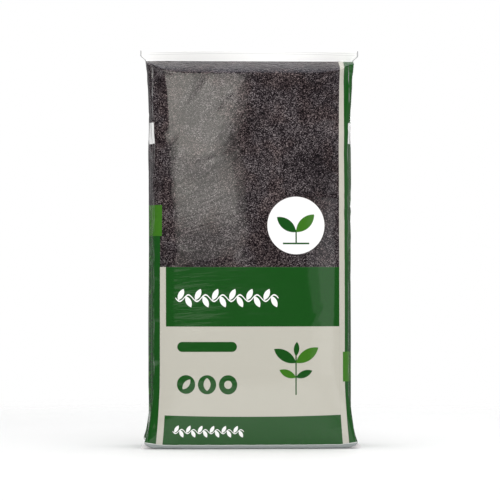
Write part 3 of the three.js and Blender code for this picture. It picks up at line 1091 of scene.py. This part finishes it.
def printed_colour(graph, film, press, around, solid):
    """Colour of the film: soil under fields and plant shapes, painted highlights along the folded edges, the
    unprinted margin at the foot painted grey as shade under a painted highlight line, and the white fin with
    its seal lines and cut ends."""
    across, up = press.across, press.up
    colour = graph.use(soil_group(), {"Place": around})["Soil Colour"]
    for *edges, paint in FIELDS:
        colour = graph.mix(press.field(*edges), colour, paint)
    for mask, paint in plant_shapes(press):
        colour = graph.mix(mask, colour, paint)
    aside = graph.math("ABSOLUTE", across)
    # painted highlight: a pale line along each folded upright edge, broken into stretches
    from_fold = graph.math("ABSOLUTE", graph.minus(aside, EDGE_FOLD))
    highlight_share = graph.use(crease_highlight_group(), {"Place": solid})["Highlight"]
    fold_highlight = graph.times(graph.ramp(from_fold, 0.0, EDGE_FOLD_WIDTH, 1.0, 0.0), highlight_share)
    colour = graph.mix(fold_highlight, colour, CREASE_HIGHLIGHT)
    # painted highlight: a thin pale line at the top of the margin; below it, painted shade: the rest of the
    # margin grey where it curves under
    margin = graph.ramp(aside, *MARGIN_RISE_SPAN, MARGIN_TOP, MARGIN_TOP + MARGIN_RISE)
    above_margin = graph.minus(up, margin)
    colour = graph.mix(inside(graph, graph.times(above_margin, -1.0)), colour, MARGIN_HIGHLIGHT)
    colour = graph.mix(inside(graph, graph.minus(-MARGIN_LINE, above_margin)), colour, MARGIN_SHADE)
    corner_drop = graph.ramp(aside, *FIN_DROP_SPAN, 0.0, FIN_DROP)
    fin = inside(graph, graph.minus(graph.plus(up, corner_drop), film.fin_up))
    colour = graph.mix(fin, colour, WHITE)
    for line_up in SEAL_LINES:
        from_line = graph.math("ABSOLUTE", graph.minus(up, film.fin_up + line_up))
        colour = graph.mix(graph.ramp(from_line, 0.0, SEAL_LINE_WIDTH, 1.0, 0.0), colour, SEAL_GREY)
    fin_end = graph.times(fin, graph.math("GREATER_THAN", aside, film.fin_end - CUT_WIDTH))
    return graph.mix(fin_end, colour, CUT_GREY)


def film_material(film, gloss_tree):
    """Printed film: the print's colour, a gloss that is duller on the gathered roof, and three fine reliefs:
    a grain, stretch lines and the roof's crinkles."""
    material, graph, shader = new_material("printed_film")
    around = graph.add("ShaderNodeUVMap", uv_map="film").outputs[0]
    across, up, _ = graph.parts(graph.add("ShaderNodeUVMap", uv_map="print").outputs[0])
    solid = graph.add("ShaderNodeTexCoord").outputs["Object"]
    press = Press(graph, across, up)
    graph.plug(shader.inputs["Base Color"], printed_colour(graph, film, press, around, solid))
    gloss = graph.use(gloss_tree, {"Place": solid})
    gathered = graph.ramp(up, film.fin_up - ROOF_FILM, film.fin_up - ROOF_FILM / 2, 0.0, 1.0)
    graph.plug(shader.inputs["Roughness"], graph.add_share(gathered, ROOF_DULLING, gloss["Roughness"]))
    under_fin = graph.ramp(up, film.fin_up - ROOF_CRINKLE_END, film.fin_up, 1.0, 0.0)
    crinkles = graph.times(graph.noise(solid, 120.0, 3.0), graph.times(gathered, under_fin))
    around_x, around_up, _ = graph.parts(around)
    streaks = graph.use(streak_group(), {"Across": around_x, "Up": around_up})["Height"]
    normal = graph.bump(gloss["Grain"], GRAIN_STRENGTH, GRAIN_HEIGHT)
    normal = graph.bump(streaks, 1.0, STREAK_HEIGHT, normal)
    graph.plug(shader.inputs["Normal"], graph.bump(crinkles, 1.0, ROOF_CRINKLE, normal))
    return material


def white_film_material(gloss_tree):
    """Bare white film of the bottom seal, painted light grey as shade near the floor."""
    material, graph, shader = new_material("white_film")
    solid = graph.add("ShaderNodeTexCoord").outputs["Object"]
    graph.plug(shader.inputs["Base Color"], EAR_SHADE)
    graph.plug(shader.inputs["Roughness"], graph.use(gloss_tree, {"Place": solid})["Roughness"])
    return material


# Camera: level, a little to the left, far away
CAMERA_DISTANCE = 5.0
CAMERA_TURN = math.radians(3.0)
CAMERA_HEIGHT = 0.3597
CAMERA_ASIDE = 0.0011
FRAME_WIDTH = 500 / 218 * SEAL_WIDTH  # the seal is 218 of the picture's 500 pixels wide


def add_camera():
    """A level camera whose frame at the bag's middle is FRAME_WIDTH wide."""
    data = bpy.data.cameras.new("camera")
    data.sensor_width = 36.0
    data.lens = data.sensor_width * CAMERA_DISTANCE / FRAME_WIDTH
    camera = bpy.data.objects.new("camera", data)
    bpy.context.scene.collection.objects.link(camera)
    camera.location = (
        CAMERA_ASIDE - CAMERA_DISTANCE * math.sin(CAMERA_TURN),
        -CAMERA_DISTANCE * math.cos(CAMERA_TURN),
        CAMERA_HEIGHT,
    )
    camera.rotation_euler = (math.pi / 2, 0, -CAMERA_TURN)
    bpy.context.scene.camera = camera


# Lamps that mirror in the film, and lamps that only light it: name, place, aim, width, height, power, colour
WARM = (1.0, 0.985, 0.90)
NEUTRAL = (1.0, 1.0, 1.0)
MIDDLE = (0, 0, 0.36)
MIRRORED_LAMPS = (
    ("softbox", (-0.70, -3.10, 1.20), (-0.70, 0, 1.20), 1.1, 0.6, 2.6, WARM),
    ("softbox_rim", (-0.50, -3.12, 1.10), (-0.50, 0, 1.10), 1.1, 0.8, 4.9, WARM),
    ("softbox_skirt", (-0.50, -3.14, 0.85), (-0.50, 0, 0.85), 1.4, 1.3, 5.0, WARM),
    ("right_box", (1.45, -2.90, 0.35), MIDDLE, 0.7, 0.9, 0.9, NEUTRAL),
    ("right_rim", (1.30, -2.94, 0.40), MIDDLE, 1.0, 1.0, 1.4, NEUTRAL),
    ("back_box", (0.46, 3.1, 1.10), (0.46, 0, 1.10), 1.0, 0.8, 8.0, NEUTRAL),
    ("rear_left_box", (-1.9, 2.3, 1.0), MIDDLE, 0.8, 1.3, 1.0, NEUTRAL),
    ("rear_right_box", (1.9, 2.3, 1.0), MIDDLE, 0.8, 1.3, 1.0, NEUTRAL),
)
FILL_LAMPS = (
    ("front_fill", (0.3, -2.0, 1.5), (0, 0, 0.60), 1.4, 1.0, 6.0, NEUTRAL),
    ("fin_fill", (0, -0.40, 1.08), (0, 0, 0.715), 0.9, 0.12, 0.9, NEUTRAL),
    ("top_fill", (0, -0.2, 2.6), MIDDLE, 1.8, 1.8, 22.0, NEUTRAL),
)


def add_lamp(name, place, aim, width, height, power, colour):
    """A soft rectangular lamp at a place, aimed at a point."""
    data = bpy.data.lights.new(name, "AREA")
    data.shape = "RECTANGLE"
    data.size = width
    data.size_y = height
    data.energy = power
    data.color = colour
    lamp = bpy.data.objects.new(name, data)
    bpy.context.scene.collection.objects.link(lamp)
    lamp.location = place
    way = np.array(aim) - np.array(place)
    lamp.rotation_euler = (
        math.atan2(math.hypot(way[0], way[1]), -way[2]),
        0,
        math.atan2(way[1], way[0]) - math.pi / 2,
    )
    lamp.visible_camera = False
    return lamp


def add_lights():
    """Three overlapping softboxes left of the camera, each a little behind the one before, that mirror in the
    film as one soft-edged light, two weak ones on the right, three behind, and fills that stay out of the
    reflections."""
    for lamp in MIRRORED_LAMPS:
        add_lamp(*lamp)
    for lamp in FILL_LAMPS:
        add_lamp(*lamp).visible_glossy = False


# What reflections see: strengths of the room's parts, and how squarely a ray has to go their way to meet them
AMBIENT = 0.74
DIM_ROOM = 0.10
SCREEN = 0.14
SCREEN_EDGE = (0.80, 0.97)
CEILING = 0.60
CEILING_EDGE = (0.36, 0.86)
PALE_FLOOR = 0.90
PALE_FLOOR_EDGE = (-0.17, -0.05)
WALL = 0.35
WALL_EDGE = (0.55, 0.85)
COOL = (0.85, 0.92, 1.03, 1)
COOL_EDGE = (0.2, 0.4)


def light_world():
    """White to the camera and through glass. Reflections see a dim room with a pale screen behind the bag, a
    cool pale ceiling, a pale wall on the right and a pale floor. Everything else gets an even soft light."""
    world = bpy.data.worlds.new("studio")
    bpy.context.scene.world = world
    world.use_nodes = True
    graph = Graph(world.node_tree)
    back = world.node_tree.nodes["Background"]
    right, behind, above = graph.parts(graph.add("ShaderNodeTexCoord").outputs["Generated"])
    room = graph.ramp(behind, *SCREEN_EDGE, DIM_ROOM, SCREEN)
    room = graph.math("MAXIMUM", room, graph.ramp(above, *CEILING_EDGE, 0.0, CEILING))
    room = graph.math("MAXIMUM", room, graph.ramp(above, *PALE_FLOOR_EDGE, PALE_FLOOR, 0.0))
    room = graph.math("MAXIMUM", room, graph.ramp(right, *WALL_EDGE, 0.0, WALL))
    path = graph.add("ShaderNodeLightPath").outputs
    seen = graph.math("MAXIMUM", path["Is Camera Ray"], path["Is Transmission Ray"])
    overhead = graph.times(path["Is Glossy Ray"], graph.ramp(above, *COOL_EDGE, 0.0, 1.0))
    graph.plug(back.inputs["Color"], graph.mix(overhead, (1, 1, 1, 1), COOL))
    light = graph.add_share(path["Is Glossy Ray"], graph.minus(room, AMBIENT), AMBIENT)
    graph.plug(back.inputs["Strength"], graph.math("MAXIMUM", seen, light))


FLOOR_RADIUS = 1.7
FLOOR_DROP = 0.0004
FLOOR_WHITE = (0.96, 0.96, 0.96, 1)


def add_floor():
    """A pale round floor that fades out into the white room."""
    material, graph, shader = new_material("studio_floor")
    graph.plug(shader.inputs["Base Color"], FLOOR_WHITE)
    graph.plug(shader.inputs["Roughness"], 0.7)
    graph.plug(shader.inputs["Specular IOR Level"], 0.2)
    length = graph.add("ShaderNodeVectorMath", operation="LENGTH")
    graph.plug(length.inputs[0], graph.add("ShaderNodeTexCoord").outputs["Object"])
    fade = graph.ramp(length.outputs["Value"], FLOOR_RADIUS * 0.3, FLOOR_RADIUS, 1.0, 0.0)
    graph.plug(shader.inputs["Alpha"], fade)
    radius = np.linspace(0.02, FLOOR_RADIUS, 9)[:, None]
    turn = np.linspace(0, TAU, 64, endpoint=False)
    points = stack(radius * np.cos(turn), radius * np.sin(turn), -FLOOR_DROP)
    floor = mesh_object("floor", points, grid_faces(*points.shape[:2]), material)


add_camera()
film_grid = film_columns(FINE)
flat_film = film_surface(film_grid)
film_gloss = gloss_group()
bag = film_bag(flat_film, film_grid, film_material(flat_film, film_gloss))
ears = seal_ears(white_film_material(film_gloss))
for piece in (bag, ears):
    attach(piece, "root")
    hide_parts("compost_bag")
light_world()
add_lights()
add_floor()

view = bpy.context.scene.view_settings
view.view_transform = "Standard"
